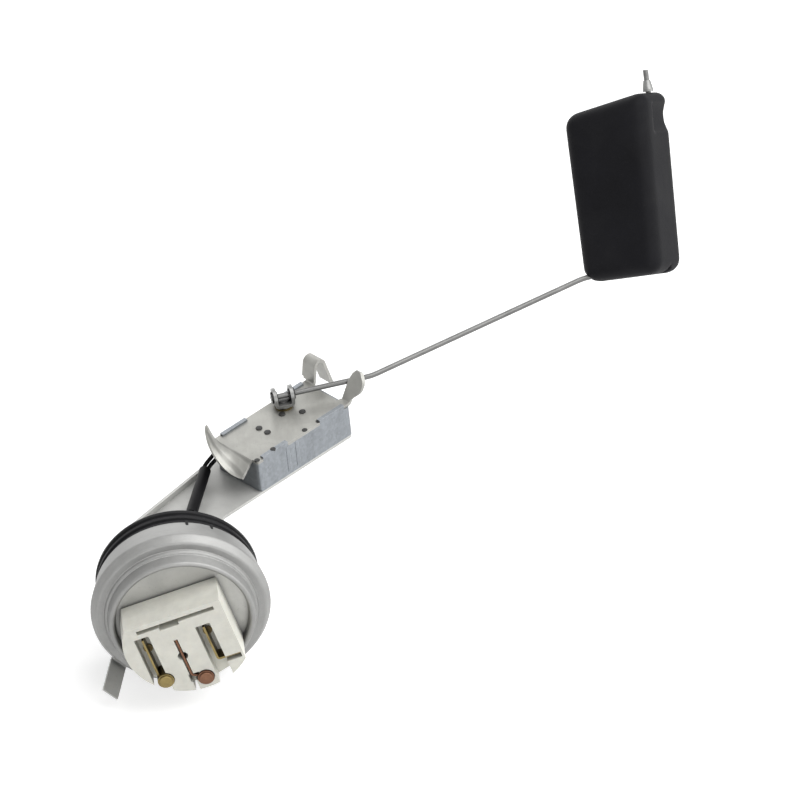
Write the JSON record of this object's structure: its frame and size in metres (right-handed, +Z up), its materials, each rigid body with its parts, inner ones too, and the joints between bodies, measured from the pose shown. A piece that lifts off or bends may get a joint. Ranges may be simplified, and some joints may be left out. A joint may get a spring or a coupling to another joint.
{
  "type": "fuel level sender",
  "caption": "Tank fuel level sender: round steel cap with a nylon socket, bracketed resistor housing, pivoting wire arm and moulded foam float.",
  "frame": {"origin": "centre of the plane on which the cap's skirt seats on the tank's collar", "axes": "+X along the pivot shaft, +Y into the tank along the cap's axis, +Z up"},
  "size_m": [0.131, 0.2115, 0.249],
  "materials": {
    "cap_steel": "satin",
    "galvanised": "satin",
    "tinplate": "satin",
    "bracket_steel": "satin",
    "wire_steel": "satin",
    "pivot_steel": "satin",
    "nylon": "satin",
    "phenolic": "matt",
    "foam": "matt",
    "rubber_black": "matt",
    "brass": "satin",
    "copper": "satin",
    "resistance_wire": "satin",
    "insulation": "satin"
  },
  "bodies": {
    "sender": {"cap": "cap_steel", "gasket": "rubber_black", "socket_seal": "rubber_black", "socket": "nylon", "terminal_signal": "brass", "terminal_ground": "copper", "terminal_warning": "brass", "stud_signal": "brass", "stud_ground": "brass", "stud_warning": "brass", "bush_signal": "nylon", "bush_ground": "nylon", "bush_warning": "nylon", "bracket": "bracket_steel", "cover": "galvanised", "bearing_plate": "tinplate", "pivot_bush": "brass", "resistor_former": "phenolic", "resistance_winding": "resistance_wire", "warning_leaf": "brass", "lug_signal": "brass", "lug_warning": "brass", "lead_signal": "insulation", "lead_warning": "insulation", "lead_sleeve": "insulation"},
    "arm": {"spring_washer": "pivot_steel", "arm_clip": "tinplate", "pivot_shaft": "pivot_steel", "wiper_collar": "nylon", "wiper_strip": "brass", "wiper_contact": "copper", "float_arm": "wire_steel", "float": "foam", "float_retainer": "pivot_steel"}
  },
  "joints": [
    {"name": "arm_pivot", "type": "hinge", "parent": "sender", "child": "arm", "pos_m": [0.0256, 0.07535, -0.0497], "axis": [1, 0, 0], "range_deg": [0, 29]}
  ]
}
